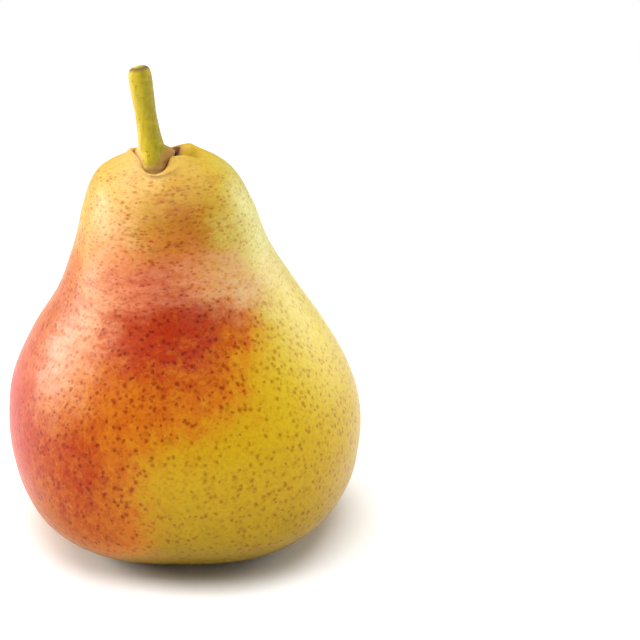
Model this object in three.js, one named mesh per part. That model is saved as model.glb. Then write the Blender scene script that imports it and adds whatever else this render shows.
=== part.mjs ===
// A ripe pear that stands on its base, with its stem and the dried flower underneath.
// Millimetres, +Z up, front towards -Y. The origin is under the middle of the bounding box.

import * as THREE from "three";

// Driving dimensions
const bellyRadius = 37.7;
const bodyHeight = 82.2; // from the resting plane to the crest round the stem
const stemLength = 23.1;
const stemRadius = 2.2; // at the thin middle of the stem
const gap = 0.3; // between pieces that touch on a real pear

// The body's outline, from the basin underneath to the floor of the stem pit.
// Each row is [share of bellyRadius, share of bodyHeight, centre's X, centre's Y].
const bodyRings = [
  [0, 0.089, 0, 0], // floor of the basin
  [0.11, 0.084, 0, 0],
  [0.2, 0.054, 0, 0],
  [0.27, 0.008, 0, 0], // lip of the basin
  [0.385, -0.008, 0, 0], // below the resting plane, where the base is cut flat
  [0.62, 0.012, 0, 0],
  [0.796, 0.054, 0, 0],
  [0.941, 0.12, 0, 0],
  [0.992, 0.213, 0, 0],
  [1, 0.323, 0, 0], // belly
  [0.948, 0.428, -0.5, -0.1],
  [0.826, 0.537, -0.8, -0.4],
  [0.668, 0.649, -0.9, -0.7], // waist
  [0.542, 0.763, -1.8, -1.1],
  [0.466, 0.87, -2.3, -1.4],
  [0.374, 0.948, -2.8, -1.7], // shoulder
  [0.21, 0.988, -3.2, -1.9],
  [0.158, 1, -3.5, -3.2], // crest round the stem
  [0.106, 0.991, -4.2, -4.5],
  [0.092, 0.93, -4.2, -4.5], // wall of the stem pit
  [0, 0.918, -4.2, -4.5], // floor of the stem pit
];
const baseLobes = { count: 5, depth: 0.032, height: 0.22, angle: 0.34 }; // swellings round the basin
const oval = { depth: 0.019, angle: -1.17 }; // the belly isn't quite round
const crown = { radius: 14, tilt: 0.37, tiltAngle: 1.1, cleft: 0.39 }; // slopes round the stem pit

// The stem's outline: [share of stemRadius, share of stemLength], from the foot to the cut end.
const stemOutline = [
  [0, 0],
  [1.16, 0.01],
  [1.2, 0.05],
  [1.43, 0.12], // collar where the stem spreads into the flesh
  [1.4, 0.2],
  [1.17, 0.32],
  [1.02, 0.45],
  [0.96, 0.58], // thinnest
  [1.01, 0.72],
  [1.05, 0.86],
  [1.0, 0.94],
  [0.72, 0.985],
  [0, 1],
];
const stemFoot = { x: -3.9, y: -4.4, z: 77.5 }; // just clear of the floor of the stem pit
const stemLean = { x: -0.17, y: -0.05, curl: 0.0017, cutSlope: 0.18 };

// The dried flower hangs from the floor of the basin.
const cup = { radius: 3.4, depth: 2.6, wall: 1.1, roof: 1, top: 6.6 };
const cupRim = cup.top - cup.depth;
const sepal = { count: 5, length: 4.2, width: 3.3, thickness: 0.6, reach: 0.62, setOff: 1.4, curl: 1.7 };
const stamens = { radius: 1.5, overhang: 1.6 };

const skin = new THREE.MeshStandardMaterial({ color: 0xd98a3a, roughness: 0.42, metalness: 0 });
const stemBark = new THREE.MeshStandardMaterial({ color: 0xb5a02c, roughness: 0.6, metalness: 0 });
const driedFlower = new THREE.MeshStandardMaterial({ color: 0x4a2a12, roughness: 0.85, metalness: 0 });
const driedStamens = new THREE.MeshStandardMaterial({ color: 0xa58a64, roughness: 0.9, metalness: 0 });

// Moves each vertex of a geometry with a function that changes the vector it is given.
function reshape(geometry, change) {
  const position = geometry.getAttribute("position");
  const point = new THREE.Vector3();
  for (let i = 0; i < position.count; i++) {
    point.fromBufferAttribute(position, i);
    change(point, i);
    position.setXYZ(i, point.x, point.y, point.z);
  }
  geometry.computeVertexNormals();
  return geometry;
}

// Turns an outline of [radius, height] points round the Z axis.
function turned(points, aroundSteps) {
  const profile = points.map(([radius, height]) => new THREE.Vector2(radius, height));
  return new THREE.LatheGeometry(profile, aroundSteps).rotateX(Math.PI / 2);
}

function named(name, geometry, material) {
  const mesh = new THREE.Mesh(geometry, material);
  mesh.name = name;
  return mesh;
}

function makeFruit() {
  const alongSteps = 58;
  const aroundSteps = 56;
  const outline = new THREE.SplineCurve(
    bodyRings.map(([radius, height]) => new THREE.Vector2(radius * bellyRadius, height * bodyHeight)),
  );
  const centres = new THREE.SplineCurve(bodyRings.map(([, , x, y]) => new THREE.Vector2(x, y)));
  const points = outline.getPoints(alongSteps);
  points[0].x = 0;
  points[alongSteps].x = 0;
  const geometry = turned(points.map((point) => point.toArray()), aroundSteps);

  return reshape(geometry, (point, index) => {
    const along = (index % points.length) / alongSteps;
    const centre = centres.getPoint(along);
    const { x: radius, y: height } = points[index % points.length];
    const angle = Math.atan2(point.y, point.x);
    const share = Math.max(height / bodyHeight, 0);

    const lowness = Math.exp(-((share / baseLobes.height) ** 2));
    const lobes = baseLobes.depth * lowness * Math.cos(baseLobes.count * (angle - baseLobes.angle));
    const ovalness = oval.depth * Math.cos(2 * (angle - oval.angle));
    const stretched = radius * (1 + lobes + ovalness);

    const inCrown = share > 0.6 ? Math.max(1 - radius / crown.radius, 0) : 0;
    const slope = crown.tilt * Math.cos(angle - crown.tiltAngle) + crown.cleft * Math.cos(2 * angle);

    point.x = stretched * Math.cos(angle) + centre.x;
    point.y = stretched * Math.sin(angle) + centre.y;
    point.z = Math.max(height + inCrown * radius * slope, 0); // the cut leaves a flat ring to rest on
  });
}

function makeStem() {
  const aroundSteps = 20;
  const outline = stemOutline.map(([radius, height]) => [radius * stemRadius, height * stemLength]);
  return reshape(turned(outline, aroundSteps), (point) => {
    const up = point.z;
    const cut = Math.max(up / stemLength - 0.8, 0) / 0.2; // 0 below the end, 1 at the cut face
    point.z += stemFoot.z + cut * stemLean.cutSlope * point.x;
    point.x += stemFoot.x + stemLean.x * up + stemLean.curl * up * up;
    point.y += stemFoot.y + stemLean.y * up;
  });
}

// A cup that opens downwards, with a solid roof.
function makeCalyxCup() {
  const roofHeight = cup.top - cup.roof;
  return turned(
    [
      [0, roofHeight],
      [cup.radius - cup.wall - 0.3, roofHeight],
      [cup.radius - cup.wall, cupRim],
      [cup.radius, cupRim],
      [cup.radius + 0.1, cupRim + cup.depth / 2],
      [cup.radius - 0.5, cup.top - 0.1],
      [cup.radius - 1, cup.top],
      [0, cup.top],
    ],
    32,
  );
}

function makeStamenTuft() {
  const rootHeight = cup.top - cup.roof - gap;
  const tipHeight = cupRim - stamens.overhang;
  return turned(
    [
      [0, tipHeight],
      [stamens.radius * 0.7, tipHeight + 0.3],
      [stamens.radius, cupRim],
      [stamens.radius * 0.8, rootHeight],
      [0, rootHeight],
    ],
    16,
  );
}

// A pointed leaf that starts just under the cup's rim and curls outwards, turned to its own angle.
function makeSepal(angle) {
  const up = new THREE.Vector3(0, 0, 1);
  const leaf = new THREE.BoxGeometry(sepal.length, sepal.width, sepal.thickness, 6, 2, 1);
  return reshape(leaf, (point) => {
    const along = point.x / sepal.length + 0.5; // 0 at the root, 1 at the tip
    const taper = 0.2 + 0.8 * (1 - along ** 2) ** 0.7;
    const layer = point.z * (1 - 0.4 * along); // the leaf thins towards its tip
    const bend = sepal.setOff - sepal.curl * along; // how far the leaf is turned from lying level
    const out = sepal.length * sepal.reach * along ** 1.4;
    const drop = sepal.length * (sepal.reach * along - 0.3 * along ** 3);
    point.x = cup.radius - 0.9 + out + layer * Math.sin(bend);
    point.y *= taper;
    point.z = cupRim - gap - sepal.thickness / 2 - drop + layer * Math.cos(bend);
    point.applyAxisAngle(up, angle);
  });
}

const pieces = new THREE.Group();
pieces.add(named("fruit", makeFruit(), skin));
pieces.add(named("stem", makeStem(), stemBark));
pieces.add(named("calyx_cup", makeCalyxCup(), driedFlower));
pieces.add(named("stamen_tuft", makeStamenTuft(), driedStamens));
for (let i = 0; i < sepal.count; i++) {
  const angle = baseLobes.angle + (i * 2 * Math.PI) / sepal.count;
  pieces.add(named(`sepal_${i + 1}`, makeSepal(angle), driedFlower));
}

// Puts the origin on the resting plane, under the middle of the whole pear.
const bounds = new THREE.Box3().setFromObject(pieces);
const middle = bounds.getCenter(new THREE.Vector3());
pieces.position.set(-middle.x, -middle.y, -bounds.min.z);

const pear = new THREE.Group();
pear.add(pieces);

export default pear;
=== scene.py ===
from math import cos, pi, radians, sin

import bpy
from mathutils import Matrix, Vector


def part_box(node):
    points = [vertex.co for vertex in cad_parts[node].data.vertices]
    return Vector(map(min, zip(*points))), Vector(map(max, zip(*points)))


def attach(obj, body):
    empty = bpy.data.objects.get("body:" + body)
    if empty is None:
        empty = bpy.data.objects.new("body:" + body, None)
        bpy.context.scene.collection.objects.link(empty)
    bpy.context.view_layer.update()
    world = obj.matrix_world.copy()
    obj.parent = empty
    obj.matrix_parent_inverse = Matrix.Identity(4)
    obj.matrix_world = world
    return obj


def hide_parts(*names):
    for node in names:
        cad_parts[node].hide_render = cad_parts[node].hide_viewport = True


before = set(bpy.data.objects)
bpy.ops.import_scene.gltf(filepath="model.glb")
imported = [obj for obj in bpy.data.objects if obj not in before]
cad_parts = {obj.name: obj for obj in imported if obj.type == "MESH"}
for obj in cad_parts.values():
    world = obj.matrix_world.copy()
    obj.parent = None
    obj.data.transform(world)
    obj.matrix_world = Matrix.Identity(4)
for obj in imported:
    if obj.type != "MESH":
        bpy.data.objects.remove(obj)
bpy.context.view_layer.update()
mm = 0.001


# One output socket of a node tree. Arithmetic on it adds Math nodes to that tree.
class Value:
    def __init__(self, nodes, socket):
        self.nodes = nodes
        self.socket = socket

    def __add__(self, other):
        return self.nodes.math("ADD", self, other)

    def __radd__(self, other):
        return self.nodes.math("ADD", other, self)

    def __sub__(self, other):
        return self.nodes.math("SUBTRACT", self, other)

    def __rsub__(self, other):
        return self.nodes.math("SUBTRACT", other, self)

    def __mul__(self, other):
        return self.nodes.math("MULTIPLY", self, other)

    def __rmul__(self, other):
        return self.nodes.math("MULTIPLY", other, self)

    def __truediv__(self, other):
        return self.nodes.math("DIVIDE", self, other)

    def __pow__(self, other):
        return self.nodes.math("POWER", self, other)

    def __neg__(self):
        return self.nodes.math("MULTIPLY", self, -1)

    def sine(self):
        return self.nodes.math("SINE", self)

    def cosine(self):
        return self.nodes.math("COSINE", self)

    def atLeast(self, low):
        return self.nodes.math("MAXIMUM", self, low)

    def atMost(self, high):
        return self.nodes.math("MINIMUM", self, high)

    def bell(self, width):  # 1 at zero, fading to nothing at about twice the width
        scaled = self / width
        return self.nodes.math("EXPONENT", -(scaled * scaled))

    def ramp(self, low, high):  # a soft step from 0 at low to 1 at high
        sockets = {"Value": self, "From Min": low, "From Max": high}
        return self.nodes.get("ShaderNodeMapRange", sockets, {"interpolation_type": "SMOOTHSTEP"})

    def rampMm(self, low, high):  # the same, between two distances in mm
        return self.ramp(low * mm, high * mm)


# A node tree, for a shape or for a material. A node gets its sockets by name or number, each a
# plain value or a Value, and its settings by name.
class Nodes:
    def __init__(self, tree):
        self.tree = tree

    def add(self, kind, sockets=None, settings=None):
        node = self.tree.nodes.new(kind)
        for name, setting in (settings or {}).items():
            setattr(node, name, setting)
        for name, value in (sockets or {}).items():
            if isinstance(value, Value):
                self.tree.links.new(value.socket, node.inputs[name])
            else:
                node.inputs[name].default_value = value
        return node

    def get(self, kind, sockets=None, settings=None, output=0):
        return Value(self, self.add(kind, sockets, settings).outputs[output])

    def getSeveral(self, kind, outputs, sockets=None, settings=None):
        node = self.add(kind, sockets, settings)
        return [Value(self, node.outputs[output]) for output in outputs]

    def math(self, operation, *values):
        return self.get("ShaderNodeMath", dict(enumerate(values)), {"operation": operation})

    def vector(self, operation, *values, output=0):
        sockets = dict(enumerate(values))
        return self.get("ShaderNodeVectorMath", sockets, {"operation": operation}, output)

    def scaled(self, vector, factor):
        sockets = {"Vector": vector, "Scale": factor}
        return self.get("ShaderNodeVectorMath", sockets, {"operation": "SCALE"})

    def joined(self, x, y, z):
        return self.get("ShaderNodeCombineXYZ", {"X": x, "Y": y, "Z": z})

    def parts(self, vector):
        return self.getSeveral("ShaderNodeSeparateXYZ", ("X", "Y", "Z"), {"Vector": vector})

    def noise(self, vector, scale, detail=2.0, roughness=0.5, output="Fac"):
        sockets = {"Vector": vector, "Scale": scale, "Detail": detail, "Roughness": roughness}
        return self.get("ShaderNodeTexNoise", sockets, None, output)

    def streaks(self, vector, squeeze, scale, detail=2.0, roughness=0.5):  # noise drawn out one way
        return self.noise(self.vector("MULTIPLY", vector, squeeze), scale, detail, roughness)

    def jitter(self, vector, scale, detail=2.0, roughness=0.5):  # a vector of noise, from -0.5 to 0.5
        cloud = self.noise(vector, scale, detail, roughness, "Color")
        return self.vector("SUBTRACT", cloud, (0.5, 0.5, 0.5))

    def mix(self, factor, under, over, blend="MIX"):  # a colour is a Value, or its red, green and blue
        tones = [tone if isinstance(tone, Value) else (*tone, 1.0) for tone in (under, over)]
        sockets = {0: factor, 6: tones[0], 7: tones[1]}  # its colour sockets share their names
        return self.get("ShaderNodeMix", sockets, {"data_type": "RGBA", "blend_type": blend}, 2)

    def surfacePoint(self):  # in mm
        return self.scaled(self.get("ShaderNodeTexCoord", output="Object"), 1 / mm)

    def shade(self, name):  # what storeShade kept on the shape
        return self.get("ShaderNodeAttribute", None, {"attribute_name": name}, "Fac")

    def random(self, index, seed):  # from 0 to 1
        sockets = {2: 0.0, 3: 1.0, "ID": index, "Seed": seed}  # its number sockets share their names
        return self.get("FunctionNodeRandomValue", sockets, {"data_type": "FLOAT"}, 1)

    def scattered(self, points, item, rotation, scale):
        sockets = {"Points": points, "Instance": item, "Rotation": rotation, "Scale": scale}
        return self.get("GeometryNodeInstanceOnPoints", sockets)


def newObject(name, data):
    made = bpy.data.objects.new(name, data)
    bpy.context.scene.collection.objects.link(made)
    return made


# A shape tree with named inputs, and those inputs as Values.
def shapeTree(name, inputs):
    tree = bpy.data.node_groups.new(name, "GeometryNodeTree")
    tree.interface.new_socket("Geometry", in_out="INPUT", socket_type="NodeSocketGeometry")
    tree.interface.new_socket("Geometry", in_out="OUTPUT", socket_type="NodeSocketGeometry")
    for label, value in inputs.items():
        kind = {int: "NodeSocketInt", float: "NodeSocketFloat"}.get(type(value), "NodeSocketMaterial")
        tree.interface.new_socket(label, in_out="INPUT", socket_type=kind)
    nodes = Nodes(tree)
    source = nodes.add("NodeGroupInput")
    given = {socket.name: Value(nodes, socket) for socket in source.outputs if socket.name}
    return nodes, given


# Ends a shape tree in its material, runs it on a carrier mesh and keeps the result as a plain mesh.
def runTree(nodes, geometry, material, inputs, carrierMesh, pieceName):
    whole = nodes.get("GeometryNodeRealizeInstances", {"Geometry": geometry})
    smooth = nodes.get("GeometryNodeSetShadeSmooth", {"Geometry": whole})
    painted = nodes.get("GeometryNodeSetMaterial", {"Geometry": smooth, "Material": material})
    nodes.add("NodeGroupOutput", {"Geometry": painted})

    carrier = newObject(pieceName + "Carrier", carrierMesh)
    modifier = carrier.modifiers.new("shape", "NODES")
    modifier.node_group = nodes.tree
    for item in nodes.tree.interface.items_tree:
        if item.in_out == "INPUT" and item.name in inputs:
            modifier[item.identifier] = inputs[item.name]
    graph = bpy.context.evaluated_depsgraph_get()
    mesh = bpy.data.meshes.new_from_object(carrier.evaluated_get(graph))
    bpy.data.objects.remove(carrier)
    print(pieceName, "has", len(mesh.polygons), "faces")
    return newObject(pieceName, mesh)


def keep(piece, slot, *nodes):
    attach(piece, "root")
    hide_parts(*nodes)


# Rings as a string of points. Each ring: radius, height, and the X and Y of the centre it turns round.
def outlineMesh(name, rings):
    mesh = bpy.data.meshes.new(name)
    points = [(radius, 0, height) for radius, height, _, _ in rings]
    mesh.from_pydata(points, [(i, i + 1) for i in range(len(points) - 1)], [])
    centres = mesh.attributes.new("centre", "FLOAT_VECTOR", "POINT")
    for item, (_, _, x, y) in zip(centres.data, rings):
        item.vector = (x, y, 0)
    return mesh


# A flat sheet, and the radius, height, angle and centre that bend each of its points round the
# outline that the tree is given. crowding gathers the rings at both ends of the outline.
def ringSheet(nodes, given, crowding=0.0):
    line = nodes.get("GeometryNodeMeshToCurve", {"Mesh": given["Geometry"]})
    bent = nodes.get("GeometryNodeCurveSplineType", {"Curve": line}, {"spline_type": "CATMULL_ROM"})
    fine = nodes.get("GeometryNodeSetSplineResolution", {"Geometry": bent, "Resolution": 32})

    steps = {"Size X": 1.0, "Size Y": 1.0}
    steps["Vertices X"] = given["Along Steps"] + 1
    steps["Vertices Y"] = given["Around Steps"] + 1
    grid, flatMap = nodes.getSeveral("GeometryNodeMeshGrid", ("Mesh", "UV Map"), steps)
    sheet = nodes.get(
        "GeometryNodeStoreNamedAttribute",
        {"Geometry": grid, "Name": "OFBake", "Value": flatMap},
        {"data_type": "FLOAT2", "domain": "CORNER"},
    )

    gridX, gridY, _ = nodes.parts(nodes.get("GeometryNodeInputPosition"))
    along = gridX + 0.5
    factor = along - crowding * (along * (2 * pi)).sine()
    stored = {"data_type": "FLOAT_VECTOR"}
    centre = nodes.get("GeometryNodeInputNamedAttribute", {"Name": "centre"}, stored)
    place, centre = nodes.getSeveral(
        "GeometryNodeSampleCurve",
        ("Position", "Value"),
        {"Curves": fine, "Value": centre, "Factor": factor},
        {"mode": "FACTOR", "use_all_curves": True, **stored},
    )
    radius, _, height = nodes.parts(place)
    centreX, centreY, _ = nodes.parts(centre)
    angle = gridY * (-2 * pi)
    return sheet, radius, height, angle, centreX, centreY


# Keeps a number on every point of a shape, for its material to read.
def storeShade(nodes, sheet, name, value):
    sockets = {"Geometry": sheet, "Name": name, "Value": value}
    settings = {"data_type": "FLOAT", "domain": "POINT"}
    return nodes.get("GeometryNodeStoreNamedAttribute", sockets, settings)


# A wave round a shape, for three corners of which one is in front.
def threeCorners(angle):
    return ((angle + pi / 2) * 3).cosine()


# Moves a sheet to its place and welds the edges that meet.
def closeSheet(nodes, sheet, position):
    weldDistance = 2e-7
    placed = nodes.get("GeometryNodeSetPosition", {"Geometry": sheet, "Position": position})
    return nodes.get("GeometryNodeMergeByDistance", {"Geometry": placed, "Distance": weldDistance})


def newMaterial(name):
    material = bpy.data.materials.new(name)
    material.use_nodes = True
    material.node_tree.nodes.clear()
    return material, Nodes(material.node_tree)


# Ends a material in one shader. A bump is its height, from 0 to 1, and its depth in mm.
def finishMaterial(nodes, colour, roughness, shine, bumps):
    normal = None
    for height, depth in bumps:
        sockets = {"Height": height, "Distance": depth * mm, "Strength": 1.0}
        if normal is not None:
            sockets["Normal"] = normal
        normal = nodes.get("ShaderNodeBump", sockets)
    sockets = {"Base Color": colour, "Roughness": roughness, "Normal": normal, "IOR": 1.45, **shine}
    surface = nodes.get("ShaderNodeBsdfPrincipled", sockets)
    nodes.add("ShaderNodeOutputMaterial", {"Surface": surface})


# Each patch of colour is a soft ball: its middle in mm and its reach along X, Y and Z.
skinLook = {
    "ground": (0.53, 0.33, 0.006),
    "lightBlush": (0.52, 0.15, 0.006),
    "deepBlush": (0.34, 0.02, 0.0),
    "grounds": [  # under the blush, each with its colour and strength
        ((30, -9, 46), (18, 32, 21), (0.59, 0.46, 0.02), 0.95),  # lemon flank
        ((17, -4, 74), (13, 24, 24), (0.49, 0.48, 0.10), 1.0),  # green-yellow on the right of the neck
        ((4, -24, 4), (50, 50, 17), (0.25, 0.16, 0.001), 1.0),  # gold under the belly, darkened there as painted shade
        ((-12, -14, 69), (11, 18, 15), (0.67, 0.39, 0.16), 1.0),  # orange paled to peach on the left of the neck, as a painted highlight
        ((-8, -10, 81), (11, 12, 6), (0.64, 0.43, 0.15), 1.0),  # painted highlight in front of the stem, where the crown faces up
        ((2.5, -18.5, 71), (9.5, 12, 9.5), (0.38, 0.13, 0.012), 1.0),  # orange-brown on the neck
        ((2, -13, 77), (7, 10, 4.5), (0.44, 0.23, 0.02), 0.8),  # tan above it
    ],
    "blushes": [  # each with its strength
        ((-7, -30, 53.5), (16, 21, 12), 1.05),  # heart of the blush
        ((-12, -27, 57), (11, 14, 9), 0.45),  # its left end
        ((8, -27, 55), (11, 14, 7), 0.7),  # its right end
        ((1, -38, 42), (17, 16, 12), 0.5),  # down over the belly
        ((11, -33, 46), (12, 14, 9), 0.28),
        ((15, -25, 55), (9, 14, 6), 0.25),
        ((-34, -14, 28), (20, 26, 28), 1.1),  # sunny flank
        ((-16, -32, 27), (15, 14, 18), 0.8),
        ((-15, -32, 12), (15, 14, 10), 0.4),  # and its foot
        ((-7, -26, 59), (12, 13, 9), 0.85),  # up towards the neck
        ((1, -20, 66), (9, 12, 7), 0.3),
        ((-24, -12, 56), (13, 20, 16), 0.6),  # shoulder of the belly
        ((-20, 26, 34), (26, 24, 28), 0.5),  # and round the back
    ],
    "veilsAndHighlights": [  # over the blush: veils of skin colour and painted highlights, each with its colour and strength
        ((-38, -6, 30), (13, 26, 26), (0.50, 0.045, 0.015), 0.8),  # pink-red edge
        ((-25, -21, 47), (9, 13, 13), (0.57, 0.31, 0.21), 0.9),  # painted highlight on the shoulder, pinkish white
        ((-17, -24, 54), (7, 12, 13), (0.70, 0.31, 0.16), 0.8),  # painted highlight, up beside the blush
        # painted highlight on the left of the neck
        ((-14, -20, 62), (8, 12, 11), (0.74, 0.36, 0.18), 0.75),
        ((-8, -24, 61.5), (9, 12, 7), (0.64, 0.19, 0.09), 0.75),  # painted highlight, pink above the heart
        ((-44, -14, 28), (15, 24, 24), (0.46, 0.015, 0.008), 1.0),  # crimson at the far left
        ((-26, -26, 8), (14, 14, 12), (0.25, 0.07, 0.002), 0.7),  # brown low on the left
        ((4, -22, 63), (12, 12, 5.5), (0.68, 0.26, 0.14), 0.7),  # painted highlight, a pink band round the waist
        # painted highlight, the band's paler right end
        ((15, -18, 60), (12, 14, 6.5), (0.60, 0.36, 0.19), 0.85),
        ((20, -9, 71), (9, 14, 18), (0.66, 0.64, 0.25), 0.75),  # painted highlight down the right edge of the neck
        # painted highlight, where that edge meets the belly
        ((26, -14, 53), (8, 14, 9), (0.66, 0.58, 0.2), 0.6),
    ],
    "softness": 0.8,  # of the patches' edges
    "wander": 12.0,  # how far the edges stray, in mm
    "strokes": ((2, -18, 73), (16, 16, 10)),  # where the neck is brushed with level strokes
    "strokeTone": (0.36, 0.11, 0.012),
    "strokeStrength": 0.75,
    "dashStart": 56,  # the height at which the dots begin to flatten into dashes, in mm
    "dashSquash": 0.9,
    "dotsEnd": (78, 81.5),  # the heights between which they fade, towards the stem
    "dotSpacing": 1.1,
    "dotRadii": (0.45, 0.8),  # smallest and largest, as shares of the spacing
    "dotStrength": 0.95,
    "speckSpacing": 0.66,
    "speckRadii": (0.4, 0.8),
    "speckStrength": 0.4,
    "dotTint": (0.55, 0.29, 0.18),
    "russetTone": (0.26, 0.12, 0.02),
    "russetStrength": 0.9,
    # deeper yellow in the groove by the stem, painted shade
    "grooveShadeTone": (0.45, 0.33, 0.01),
    "grooveShadeStrength": 0.7,
    "lipTone": (0.42, 0.18, 0.05),
    "lipStrength": 0.7,
    # near black in the crease round the stem, painted shade
    "creaseShadeTone": (0.10, 0.035, 0.01),
    "mottleTint": (0.84, 0.7, 0.5),
    "mottleStrength": 0.5,
    "bumps": (0.06, -0.03),  # depth of the grain and of the dots, in mm
    "shine": {"Specular IOR Level": 0.22, "Specular Tint": (1.0, 0.85, 0.6, 1.0)},
}


def makeSkin():
    look = skinLook
    material, nodes = newMaterial("pearSkin")
    point = nodes.surfacePoint()
    _, _, height = nodes.parts(point)

    # The borders of the patches wander, because every patch is looked up at a shaken point.
    def shaken(amount, scale, detail):
        shake = nodes.jitter(point, scale, detail, roughness=0.65)
        return nodes.vector("ADD", point, nodes.scaled(shake, amount))

    loose = shaken(look["wander"], scale=0.16, detail=5.0)

    def ball(middle, reach):
        apart = nodes.vector("DIVIDE", nodes.vector("SUBTRACT", loose, middle), reach)
        return nodes.vector("LENGTH", apart, output="Value").bell(look["softness"])

    colour = look["ground"]
    for middle, reach, tone, strength in look["grounds"]:
        colour = nodes.mix(ball(middle, reach) * strength, colour, tone)

    # The blush is thinner between its streaks, which run up and down on the belly.
    blush = 0.0
    for middle, reach, strength in look["blushes"]:
        blush = ball(middle, reach) * strength + blush
    upright = nodes.streaks(loose, (1.0, 1.0, 0.25), scale=0.9, detail=3.0, roughness=0.6)
    clouds = nodes.noise(point, scale=0.45, detail=5.0, roughness=0.7)
    blush = blush.atMost(1.25) * (1 + 0.7 * (upright - 0.5) + 1.3 * (clouds - 0.5))
    colour = nodes.mix(blush.ramp(0.03, 0.6), colour, look["lightBlush"])
    colour = nodes.mix(blush.ramp(0.4, 1.2), colour, look["deepBlush"])

    # The veils and the painted highlights break up into level wisps.
    bent = shaken(2.0, scale=0.5, detail=2.0)
    level = nodes.streaks(bent, (0.25, 0.25, 1.2), scale=0.8, detail=3.0, roughness=0.6)
    wisps = 0.5 + 0.6 * level.ramp(0.36, 0.64)
    veiledAndHighlit = 0.0
    for middle, reach, tone, strength in look["veilsAndHighlights"]:
        share = ball(middle, reach) * strength
        colour = nodes.mix(share * wisps, colour, tone)
        veiledAndHighlit = share + veiledAndHighlit
    brushed = ball(*look["strokes"]) * level.ramp(0.5, 0.66)
    colour = nodes.mix(brushed * look["strokeStrength"], colour, look["strokeTone"])

    # Dots, with fainter specks between them: round on the belly, level dashes on the neck.
    squash = nodes.joined(0.0, 0.0, (height - look["dashStart"]).atLeast(0) * look["dashSquash"])
    dotPoint = nodes.vector("ADD", shaken(0.9, scale=1.2, detail=2.0), squash)

    def dots(spacing, small, large):
        cell, distance = nodes.getSeveral(
            "ShaderNodeTexVoronoi",
            ("Color", "Distance"),
            {"Vector": dotPoint, "Scale": 1 / spacing, "Randomness": 1.0},
            {"feature": "F1"},
        )
        size, depth, _ = nodes.parts(cell)
        return (1 - distance.ramp(0.05, small + (large - small) * size)) * depth.ramp(0.25, 0.6)

    dot = dots(look["dotSpacing"], *look["dotRadii"])
    speck = dots(look["speckSpacing"], *look["speckRadii"])
    dark = nodes.mix(1.0, colour, look["dotTint"], "MULTIPLY")
    # The dots are fainter under the veils and the painted highlights.
    strength = 0.85 + 0.4 * blush.ramp(0.1, 0.6) - 0.5 * veiledAndHighlit.atMost(1)
    strength = strength * (1 - 0.75 * height.ramp(*look["dotsEnd"]))
    dotted = (dot * look["dotStrength"]).atLeast(speck * look["speckStrength"])
    colour = nodes.mix(dotted * strength, colour, dark)

    # Russet round the dried flower and brown round the stem. Deeper yellow in the groove and near black
    # in the crease round the stem are painted shade.
    crease = nodes.shade("crease")
    russet = (nodes.shade("basin") * (0.6 + 0.9 * clouds)).ramp(0.25, 0.8)
    groove = nodes.shade("groove")
    colour = nodes.mix(russet * look["russetStrength"], colour, look["russetTone"])
    colour = nodes.mix(groove * look["grooveShadeStrength"], colour, look["grooveShadeTone"])
    colour = nodes.mix(crease.ramp(0.02, 0.5) * look["lipStrength"], colour, look["lipTone"])
    colour = nodes.mix(crease.ramp(0.6, 1.0), colour, look["creaseShadeTone"])

    # A fine mottle over everything.
    grain = nodes.noise(point, scale=1.3, detail=4.0, roughness=0.65)
    mottled = nodes.mix(1.0, colour, look["mottleTint"], "MULTIPLY")
    colour = nodes.mix(grain.ramp(0.4, 0.7) * look["mottleStrength"], colour, mottled)
    bumps = zip((grain, dot), look["bumps"])
    finishMaterial(nodes, colour, 0.28 + 0.14 * grain, look["shine"], bumps)
    return material


barkLook = {
    "dark": (0.31, 0.245, 0.006),
    "pale": (0.40, 0.32, 0.01),
    "lit": (0.55, 0.41, 0.012),  # on the sunny side
    "tan": (0.76, 0.49, 0.13),  # at the middle of the sunny side
    "fibre": (0.22, 0.17, 0.01),
    "spot": (0.12, 0.05, 0.01),
    "collar": (0.38, 0.18, 0.05),  # where it spreads into the flesh
    "rim": (0.10, 0.05, 0.02),  # round the cut end
    "shine": {"Specular IOR Level": 0.3},
}


def makeBark():
    look = barkLook
    material, nodes = newMaterial("stemBark")
    point = nodes.surfacePoint()
    fibres = nodes.streaks(point, (1.0, 1.0, 0.15), scale=1.4, detail=3.0)
    knobs = nodes.noise(point, scale=0.7, detail=3.0)
    spots = nodes.noise(point, scale=1.5).ramp(0.64, 0.72)
    sunny = nodes.shade("sunny")
    collar = nodes.shade("collar") * (0.85 + 0.5 * (knobs - 0.5))
    colour = nodes.mix(knobs.ramp(0.35, 0.65), look["dark"], look["pale"])
    colour = nodes.mix(sunny.ramp(0.05, 0.4), colour, look["lit"])
    colour = nodes.mix(sunny.ramp(0.5, 0.85), colour, look["tan"])
    colour = nodes.mix(fibres.ramp(0.45, 0.7) * 0.35, colour, look["fibre"])
    colour = nodes.mix(spots * 0.6, colour, look["spot"])
    colour = nodes.mix(collar, colour, look["collar"])
    colour = nodes.mix(nodes.shade("rim") * 0.85, colour, look["rim"])
    finishMaterial(nodes, colour, 0.45 + 0.1 * fibres, look["shine"], [(fibres, 0.12), (knobs, 0.4)])
    return material


# The dried flower is dark, frayed pale along its edges; its stamens are paler, with dark tips.
flowerLook = {
    "dark": (0.035, 0.014, 0.006),
    "pale": (0.12, 0.055, 0.022),
    "edge": (0.36, 0.22, 0.11),
    "shine": {"Specular IOR Level": 0.3},
}
stamenLook = {
    "dark": (0.14, 0.08, 0.035),
    "pale": (0.34, 0.23, 0.12),
    "edge": (0.10, 0.06, 0.03),
    "shine": {"Specular IOR Level": 0.3},
}


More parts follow.
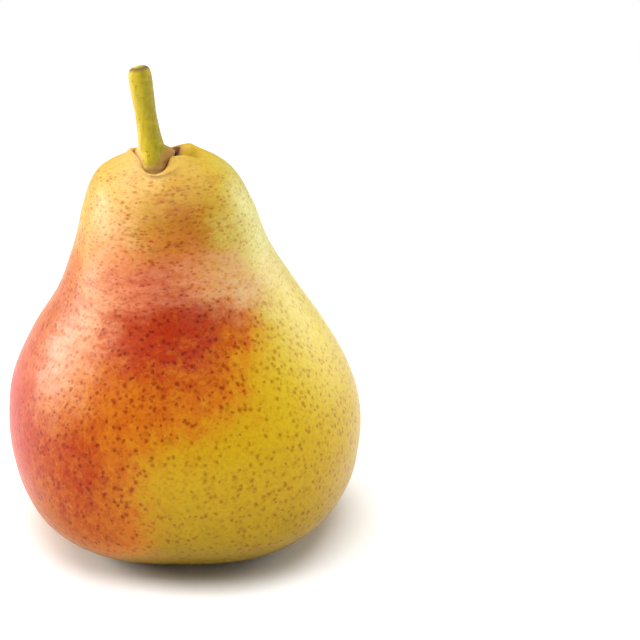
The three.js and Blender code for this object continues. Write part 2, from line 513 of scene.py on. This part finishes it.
def makeDried(name, look):
    material, nodes = newMaterial(name)
    crumple = nodes.noise(nodes.surfacePoint(), scale=1.6, detail=4.0, roughness=0.65)
    colour = nodes.mix(crumple.ramp(0.35, 0.75), look["dark"], look["pale"])
    colour = nodes.mix(nodes.shade("edge") * crumple.ramp(0.3, 0.55), colour, look["edge"])
    finishMaterial(nodes, colour, 0.7 + 0.2 * crumple, look["shine"], [(crumple, 0.3)])
    return material


# The body: the same rings as the solid it stands for, worked finer, with its grooves and furrows.
# Each ring: share of the belly's radius, share of the height, centre's X and Y in mm.
# Lengths here and in the pieces below are in mm and angles in radians, from +X towards +Y.
pearBody = {
    "bellyRadius": 37.7,
    "height": 82.2,
    "rings": [
        (0, 0.089, 0, 0),  # floor of the basin
        (0.11, 0.084, 0, 0),
        (0.2, 0.054, 0, 0),
        (0.27, 0.008, 0, 0),  # lip of the basin
        (0.385, -0.008, 0, 0),  # below the resting plane, where the base is flat
        (0.62, 0.012, 0, 0),
        (0.796, 0.054, 0, 0),
        (0.941, 0.12, 0, 0),
        (0.992, 0.213, 0, 0),
        (1, 0.323, 0, 0),  # belly
        (0.948, 0.428, -0.5, -0.1),
        (0.826, 0.537, -0.8, -0.4),
        (0.668, 0.649, -0.9, -0.7),  # waist
        (0.542, 0.763, -1.8, -1.1),
        (0.466, 0.87, -2.3, -1.4),
        (0.374, 0.948, -2.8, -1.7),  # shoulder
        (0.21, 0.987, -3.2, -2.8),
        (0.158, 0.999, -3.5, -3.7),  # crest round the stem
        (0.106, 0.991, -4.2, -4.5),
        (0.092, 0.93, -4.2, -4.5),  # wall of the stem pit
        (0, 0.918, -4.2, -4.5),  # floor of the stem pit
    ],
    "lobeCount": 5,  # swellings round the base
    "lobeReach": 0.22,  # how far up they go, as a share of the height
    "lobeAngle": 0.34,
    "ovalAngle": -1.17,
    "tiltAngle": 1.1,
    "pitEdge": (4.2, 8),  # the radii between which the pit's corners fade out
    "creaseEdge": (4.1, 5),
    "fallRadius": 14.5,  # where the crown falls away in front
    "fallWidth": 3.8,
    "grooveAngle": -0.08,
    "grooveWidth": 1.6,
    "lipAngle": -0.53,
    "lipWidth": 1.3,
    "grooveStart": (3, 5),
    "grooveEnd": (6, 11),
    "furrowStart": (2, 5),
    "furrowEnd": (8, 11.5),
    "basinEdge": (3, 11),
}


def makeBody(skin):
    size = pearBody
    height = size["height"] * mm
    inputs = {
        "Along Steps": 280,
        "Around Steps": 320,
        "Lobe Depth": 0.032,
        "Oval Depth": 0.019,
        "Crown Radius": 18.5 * mm,
        "Crown Tilt": 0.46,
        "Cleft": 0.45,
        "Pit Corners": 0.2,
        "Front Fall": 1.7 * mm,
        "Groove Depth": 2.9 * mm,
        "Lip Height": 0.3 * mm,
        "Furrow Depth": 0.3 * mm,
        "Unevenness": 0.35 * mm,
        "Skin": skin,
    }
    rings = [
        (radius * size["bellyRadius"] * mm, share * height, x * mm, y * mm)
        for radius, share, x, y in size["rings"]
    ]
    nodes, given = shapeTree("pearBody", inputs)
    sheet, radius, up, angle, centreX, centreY = ringSheet(nodes, given, crowding=0.07)
    share = (up / height).atLeast(0)
    top = nodes.math("GREATER_THAN", share, 0.6)  # 1 on the crown and in the pit, else 0
    low = 1 - share.ramp(0.1, 0.14)  # 1 on the base and in the basin, else 0

    lobeWave = ((angle - size["lobeAngle"]) * size["lobeCount"]).cosine()
    lobes = given["Lobe Depth"] * share.bell(size["lobeReach"]) * lobeWave
    oval = given["Oval Depth"] * ((angle - size["ovalAngle"]) * 2).cosine()
    wide = radius * (1 + lobes + oval)

    # The crown slopes to one side and is cleft across.
    inCrown = (1 - radius / given["Crown Radius"]).atLeast(0) ** 2 * top
    tilt = given["Crown Tilt"] * (angle - size["tiltAngle"]).cosine()
    rise = inCrown * radius * (tilt + given["Cleft"] * (angle * 2).cosine())

    # The pit has three corners, one in front, and the crown falls away in front of it.
    pit = 1 - radius.rampMm(*size["pitEdge"])
    wide = wide * (1 + given["Pit Corners"] * pit * top * threeCorners(angle))
    ahead = (-angle.sine()).atLeast(0)
    fall = (radius - size["fallRadius"] * mm).bell(size["fallWidth"] * mm)
    rise = rise - given["Front Fall"] * top * ahead * ahead * fall

    # A groove runs out of the pit's right corner, behind a raised lip.
    def runningOut(turn, width):
        aside = radius * (angle - turn).sine()
        out = radius * (angle - turn).cosine()
        stretch = out.rampMm(*size["grooveStart"]) * (1 - out.rampMm(*size["grooveEnd"]))
        return aside.bell(width * mm) * stretch * top

    groove = runningOut(size["grooveAngle"], size["grooveWidth"])
    lip = runningOut(size["lipAngle"], size["lipWidth"])
    rise = rise - given["Groove Depth"] * groove + given["Lip Height"] * lip

    # Furrows gather towards the dried flower underneath.
    ring = radius.rampMm(*size["furrowStart"]) * (1 - radius.rampMm(*size["furrowEnd"]))
    pleats = (angle * 11).cosine() + (angle * 17).cosine() * 0.5
    rise = rise + given["Furrow Depth"] * low * ring * pleats

    # The skin is slightly uneven all over.
    smooth = nodes.joined(wide * angle.cosine(), wide * angle.sine(), up)
    wave = nodes.noise(smooth, scale=55.0, detail=1.0)
    wide = wide + given["Unevenness"] * (wave - 0.5) * (up / height).ramp(0.02, 0.2)
    x = wide * angle.cosine() + centreX
    y = wide * angle.sine() + centreY
    z = (up + rise).atLeast(0)  # the base is flat where it rests
    sheet = storeShade(nodes, sheet, "crease", (1 - radius.rampMm(*size["creaseEdge"])) * top)
    sheet = storeShade(nodes, sheet, "groove", groove)
    sheet = storeShade(nodes, sheet, "basin", low * (1 - radius.rampMm(*size["basinEdge"])))
    closed = closeSheet(nodes, sheet, nodes.joined(x, y, z))
    return runTree(nodes, closed, given["Skin"], inputs, outlineMesh("bodyRings", rings), "pearBody")


# The stem: share of its own radius and of its length, from the foot to the cut end.
pearStem = {
    "radius": 2.2,
    "length": 23.1,
    "outline": [
        (0, 0),
        (1.16, 0.01),
        (1.42, 0.05),
        (1.76, 0.13),  # collar that fills the pit
        (1.72, 0.165),
        (1.42, 0.215),
        (1.2, 0.28),
        (1.1, 0.36),
        (1.02, 0.45),
        (0.96, 0.58),  # thinnest
        (1.01, 0.72),
        (1.05, 0.86),
        (1.0, 0.94),
        (0.72, 0.985),
        (0, 1),
    ],
    "place": (-3.9, -4.4, 77.5),
    "lean": (-0.17, -0.05),  # along X and Y, for each mm of height
    "curl": 0.0017,
    "cutStart": 0.8,  # where its end begins to slant, as a share of the length
    "cutSlope": 0.18,
    "footEnd": (0.2, 0.34),  # shares of the length between which the foot ends
    "footShift": -0.25,
    "footSaddle": 0.28,  # the foot's slope, which follows the crown's
    "collarEnd": (0.19, 0.26),
    "rimStart": (0.95, 0.985),
    "rimEdge": (0.3, 0.7),  # shares of the radius
}


def makeStem(bark):
    size = pearStem
    length = size["length"] * mm
    inputs = {
        "Along Steps": 120,
        "Around Steps": 48,
        "Ridge Depth": 0.035,
        "Foot Corners": 0.2,
        "Roughness Depth": 0.12 * mm,
        "Bark": bark,
    }
    rings = [(radius * size["radius"] * mm, share * length, 0, 0) for radius, share in size["outline"]]
    nodes, given = shapeTree("pearStem", inputs)
    sheet, radius, up, angle, _, _ = ringSheet(nodes, given, crowding=0.05)
    share = up / length
    foot = 1 - share.ramp(*size["footEnd"])  # 1 in the pit, 0 above it

    # It has low ridges, a foot with the pit's three corners, and rough bark.
    ridges = 1 + given["Ridge Depth"] * ((angle * 3 + 1).cosine() + 0.5 * (angle * 7).cosine())
    wide = radius * ridges * (1 + given["Foot Corners"] * foot * threeCorners(angle))
    barkPoint = nodes.joined(wide * angle.cosine(), wide * angle.sine(), up * 0.4)
    rough = nodes.noise(barkPoint, scale=420.0)
    wide = wide + given["Roughness Depth"] * (rough - 0.5) * (radius / mm).atMost(1)

    # It leans and curls to the left, and its end is cut at a slant.
    placeX, placeY, placeZ = (place * mm for place in size["place"])
    leanX, leanY = size["lean"]
    bow = leanX * up + size["curl"] / mm * up * up
    x = wide * angle.cosine() + placeX + size["footShift"] * mm * foot + bow
    y = wide * angle.sine() + placeY + leanY * up
    cut = (share - size["cutStart"]).atLeast(0) / (1 - size["cutStart"])
    slant = cut * size["cutSlope"] * wide * angle.cosine()
    slopes = (angle - pearBody["tiltAngle"]).cosine() + (angle * 2).cosine()
    z = up + placeZ + slant + size["footSaddle"] * slopes * wide * foot

    endFace = share.ramp(*size["rimStart"])
    rim = endFace * (radius / (size["radius"] * mm)).ramp(*size["rimEdge"])
    sheet = storeShade(nodes, sheet, "collar", 1 - share.ramp(*size["collarEnd"]))
    sheet = storeShade(nodes, sheet, "sunny", 0.5 - 0.5 * (angle + 0.5).cosine())
    sheet = storeShade(nodes, sheet, "rim", rim)
    closed = closeSheet(nodes, sheet, nodes.joined(x, y, z))
    return runTree(nodes, closed, given["Bark"], inputs, outlineMesh("stemRings", rings), "stem")


# The dried flower underneath: a cup, five curled sepals round its rim and a tuft of stamens.
driedCup = {
    "outline": [  # radius and height, from the roof's underside, round the rim to the roof's top
        (0, 5.6),
        (1.9, 5.55),
        (2.25, 4.7),
        (2.4, 4.05),
        (3.1, 4.0),
        (3.4, 4.5),
        (3.35, 5.5),
        (2.7, 6.5),
        (0, 6.6),
    ],
    "radius": 3.4,
    "rim": 4.0,
    "frayed": 0.5,  # how far up the pale edge goes
    "wrinkleStart": (1.5, 3),
}


def makeCup(dried):
    size = driedCup
    inputs = {"Along Steps": 60, "Around Steps": 90, "Wrinkle Depth": 0.06, "Dried": dried}
    rings = [(radius * mm, height * mm, 0, 0) for radius, height in size["outline"]]
    nodes, given = shapeTree("driedCup", inputs)
    sheet, radius, up, angle, _, _ = ringSheet(nodes, given)
    wrinkles = 0.4 * (angle * 5).cosine() + 0.6 * (angle * 13 + 1).cosine()
    wide = radius * (1 + given["Wrinkle Depth"] * wrinkles * radius.rampMm(*size["wrinkleStart"]))
    sheet = storeShade(nodes, sheet, "edge", 1 - (up / mm - size["rim"]).ramp(0.0, size["frayed"]))
    closed = closeSheet(nodes, sheet, nodes.joined(wide * angle.cosine(), wide * angle.sine(), up))
    return runTree(nodes, closed, given["Dried"], inputs, outlineMesh("cupRings", rings), "driedCup")


# One sepal leaves the cup's rim almost upright and curls out, its edges turned up.
driedSepal = {
    "outline": [  # half width, share of the length
        (0, 0),
        (0.9, 0.03),
        (1.3, 0.12),
        (1.5, 0.3),
        (1.25, 0.5),
        (0.75, 0.75),
        (0.3, 0.93),
        (0, 1),
    ],
    "length": 4.2,
    "halfWidth": 1.6,
    "reach": 0.62,  # how far out its tip gets, as a share of the length
    "lift": 0.3,  # how much its tip turns up again
    "inside": 0.9,  # from the cup's outside to its root
    "below": 0.6,  # from the cup's rim to its root
    "rootTurn": 1.4,  # from lying level
    "curl": 1.7,
    "firstAngle": 0.34,
    "turnSpread": 0.2,
    "smallest": 0.9,
    "growthSpread": 0.12,
}


def makeSepals(dried):
    size = driedSepal
    length = size["length"] * mm
    inputs = {
        "Along Steps": 36,
        "Around Steps": 28,
        "Count": 5,
        "Thickness": 0.35 * mm,
        "Edge Curl": 0.5 * mm,
        "Crumple": 0.6 * mm,
        "Seed": 7,
        "Dried": dried,
    }
    rings = [(half * mm, share * length, 0, 0) for half, share in size["outline"]]
    nodes, given = shapeTree("sepals", inputs)
    sheet, half, up, angle, _, _ = ringSheet(nodes, given, crowding=0.04)

    along = up / length
    across = half * angle.cosine()
    side = across / (size["halfWidth"] * mm)
    thick = given["Thickness"] / 2 * angle.sine() * (half / (size["halfWidth"] * mm))
    layer = thick + given["Edge Curl"] * side * side
    bend = size["rootTurn"] - size["curl"] * along
    out = along.atLeast(0) ** 1.4 * (length * size["reach"])
    drop = length * (size["reach"] * along - size["lift"] * along * along * along)
    x = (driedCup["radius"] - size["inside"]) * mm + out + layer * bend.sine()
    z = (driedCup["rim"] - size["below"]) * mm - drop + layer * bend.cosine()
    frayed = (side * side).ramp(0.45, 0.95).atLeast(along.ramp(0.8, 1.0))
    sheet = storeShade(nodes, sheet, "edge", frayed)
    leaf = closeSheet(nodes, sheet, nodes.joined(x, across, z))

    # A ring of them, each turned and grown a little differently, then all crumpled.
    row = nodes.get("GeometryNodeMeshLine", {"Count": given["Count"], "Offset": (0, 0, 0)})
    index = nodes.get("GeometryNodeInputIndex")
    chance = nodes.random(index, given["Seed"])
    turn = size["firstAngle"] + index * (2 * pi / inputs["Count"]) + (chance - 0.5) * size["turnSpread"]
    grow = size["smallest"] + chance * size["growthSpread"]
    ring = nodes.scattered(row, leaf, nodes.joined(0.0, 0.0, turn), nodes.joined(grow, grow, 1.0))
    ring = nodes.get("GeometryNodeRealizeInstances", {"Geometry": ring})
    overlapping = {"Geometry": ring, "Name": "OFBake"}  # the five lie on each other in this map
    ring = nodes.get("GeometryNodeRemoveAttribute", overlapping)
    crumple = nodes.jitter(nodes.get("GeometryNodeInputPosition"), scale=300.0, detail=1.0)
    push = nodes.scaled(crumple, given["Crumple"])
    ring = nodes.get("GeometryNodeSetPosition", {"Geometry": ring, "Offset": push})
    return runTree(nodes, ring, given["Dried"], inputs, outlineMesh("sepalRings", rings), "sepals")


stamenTuft = {
    "root": 5.2,  # height of the threads' roots, inside the cup
    "sides": 6,
    "points": 7,  # along one thread
    "bend": 0.22,  # share of the length
    "thin": 0.8,  # how thick a thread is, as a share of the thickness given
    "swell": 1.2,  # what its tip adds to that
    "tipStart": (0.82, 0.95),
    "darkStart": (0.75, 0.95),
    "turn": 2.4,  # about the golden angle, which spreads them evenly
    "shortest": 0.8,
}


def makeStamens(dried):
    size = stamenTuft
    inputs = {
        "Count": 30,
        "Length": 2.7 * mm,
        "Thickness": 0.11 * mm,
        "Spread": 1.25 * mm,
        "Splay": 0.35,
        "Seed": 3,
        "Dried": dried,
    }
    nodes, given = shapeTree("stamens", inputs)

    # One thread hangs down from the origin, bent a little, with a swollen tip.
    line = nodes.get("GeometryNodeCurvePrimitiveLine", {"Start": (0, 0, 0), "End": (0, 0, -1)})
    line = nodes.get("GeometryNodeResampleCurve", {"Curve": line, "Count": size["points"]})
    share = nodes.get("GeometryNodeSplineParameter")
    aside = share * share * (size["bend"] * given["Length"])
    place = nodes.joined(aside, 0.0, -share * given["Length"])
    line = nodes.get("GeometryNodeSetPosition", {"Geometry": line, "Position": place})
    circle = nodes.get("GeometryNodeCurvePrimitiveCircle", {"Resolution": size["sides"], "Radius": 1.0})
    club = given["Thickness"] * (size["thin"] + size["swell"] * share.ramp(*size["tipStart"]))
    sockets = {"Curve": line, "Profile Curve": circle, "Scale": club, "Fill Caps": True}
    thread = nodes.get("GeometryNodeCurveToMesh", sockets)
    thread = storeShade(nodes, thread, "edge", share.ramp(*size["darkStart"]))

    # The outer threads lean out the most.
    index = nodes.get("GeometryNodeInputIndex")
    chance = nodes.random(index, given["Seed"])
    far = (index / given["Count"]) ** 0.5
    turn = index * size["turn"]
    away = far * given["Spread"]
    root = nodes.joined(away * turn.cosine(), away * turn.sine(), size["root"] * mm)
    spots = nodes.get("GeometryNodePoints", {"Count": given["Count"], "Position": root})
    splay = -given["Splay"] * (far + chance - 0.4)
    grow = size["shortest"] + (1 - size["shortest"]) * chance
    tuft = nodes.scattered(spots, thread, nodes.joined(0.0, splay, turn), nodes.joined(1.0, 1.0, grow))
    return runTree(nodes, tuft, given["Dried"], inputs, bpy.data.meshes.new("stamenCarrier"), "stamens")


# The camera looks along +Y and down, with the pear left of the middle of the frame.
cameraSet = {
    "lens": 100,
    "tilt": 20,  # degrees down from level
    "distance": 372.7,  # from the point that it is aimed at, in mm
    "aim": (0, 0, 42),
    "aside": 28.6,  # how far it then moves to the right
    "above": 3.4,  # and up, across its line of sight
}


def makeCamera():
    data = bpy.data.cameras.new("camera")
    data.lens = cameraSet["lens"]
    camera = newObject("camera", data)
    tilt = radians(cameraSet["tilt"])
    ahead = Vector((0, cos(tilt), -sin(tilt)))
    upward = Vector((0, sin(tilt), cos(tilt)))
    place = Vector(cameraSet["aim"]) - ahead * cameraSet["distance"] + upward * cameraSet["above"]
    place.x += cameraSet["aside"]
    camera.location = place * mm
    camera.rotation_euler = (radians(90) - tilt, 0, 0)
    bpy.context.scene.camera = camera


# Softboxes. Each has an azimuth from the front and a height above level in degrees, its distance,
# width and tallness in metres, its watts and its colour.
lightSet = {
    "leftBox": (-98, 18, 0.75, 0.32, 0.32, 5.2, (1.0, 0.98, 0.96)),
    "rightBox": (122, 12, 0.75, 0.60, 0.35, 2.7, (1.0, 1.0, 0.98)),
    "topBox": (-15, 80, 0.90, 1.10, 1.10, 15.0, (1.0, 1.0, 1.0)),
}
worldStrength = 0.25


def makeLights():
    aim = Vector((0, 0, 0.045))
    for name, (azimuth, height, distance, width, tall, watts, tone) in lightSet.items():
        data = bpy.data.lights.new(name, "AREA")
        data.shape = "RECTANGLE"
        data.size = width
        data.size_y = tall
        data.energy = watts
        data.color = tone
        lamp = newObject(name, data)
        turn, rise = radians(azimuth), radians(height)
        away = Vector((sin(turn) * cos(rise), -cos(turn) * cos(rise), sin(rise)))
        lamp.location = aim + distance * away
        lamp.rotation_euler = (-away).to_track_quat("-Z", "Y").to_euler()
        lamp.visible_camera = False
    world = bpy.data.worlds.new("studio")
    world.use_nodes = True
    sky = world.node_tree.nodes["Background"]
    sky.inputs["Color"].default_value = (1, 1, 1, 1)
    sky.inputs["Strength"].default_value = worldStrength
    bpy.context.scene.world = world
    bpy.context.scene.view_settings.view_transform = "Standard"


# A plain white mesh. shader is the kind of its node, and sockets are the values it is given.
def plainMesh(name, corners, faces, shader, sockets):
    material, nodes = newMaterial(name + "White")
    nodes.add("ShaderNodeOutputMaterial", {"Surface": nodes.get(shader, sockets)})
    mesh = bpy.data.meshes.new(name)
    mesh.from_pydata(corners, [], faces)
    mesh.materials.append(material)
    return newObject(name, mesh)


def makeFloor():
    half = 4.0
    corners = [(-half, -half, 0), (half, -half, 0), (half, half, 0), (-half, half, 0)]
    paper = {"Color": (0.94, 0.94, 0.94, 1.0)}
    floor = plainMesh("floor", corners, [(0, 1, 2, 3)], "ShaderNodeBsdfDiffuse", paper)


# A white wall all round, which the camera sees but which throws no light on the pear.
def makeBackdrop():
    steps, radius, tall = 64, 0.5, 3.0
    turns = [2 * pi * i / steps for i in range(steps)]
    corners = [(radius * cos(turn), radius * sin(turn), z) for z in (0.0, tall) for turn in turns]
    pairs = [(i, (i + 1) % steps) for i in range(steps)]
    faces = [(first, second, second + steps, first + steps) for first, second in pairs]
    glow = {"Color": (1.0, 1.0, 1.0, 1.0), "Strength": 1.0}
    backdrop = plainMesh("backdrop", corners, faces, "ShaderNodeEmission", glow)
    backdrop.visible_diffuse = False
    backdrop.visible_glossy = False
    backdrop.visible_shadow = False


makeCamera()
makeLights()
makeFloor()
makeBackdrop()
print("studio ready")

# The body goes over the middle of the solid that it stands for, and the stem goes with it.
body = makeBody(makeSkin())
solidLow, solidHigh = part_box("fruit")
corners = [Vector(corner) for corner in body.bound_box]
bodyMiddle = (corners[0] + corners[6]) / 2
shift = (solidLow + solidHigh) / 2 - bodyMiddle
shift.z = 0
body.data.transform(Matrix.Translation(shift))
keep(body, "skin", "fruit")

stem = makeStem(makeBark())
stem.data.transform(Matrix.Translation(shift))
keep(stem, "stem", "stem")

dried = makeDried("driedFlower", flowerLook)
cup = makeCup(dried)
keep(cup, "dried_flower", "calyx_cup")
sepals = makeSepals(dried)
keep(sepals, "dried_flower", *[f"sepal_{i}" for i in range(1, 6)])
stamens = makeStamens(makeDried("driedStamens", stamenLook))
keep(stamens, "dried_stamens", "stamen_tuft")
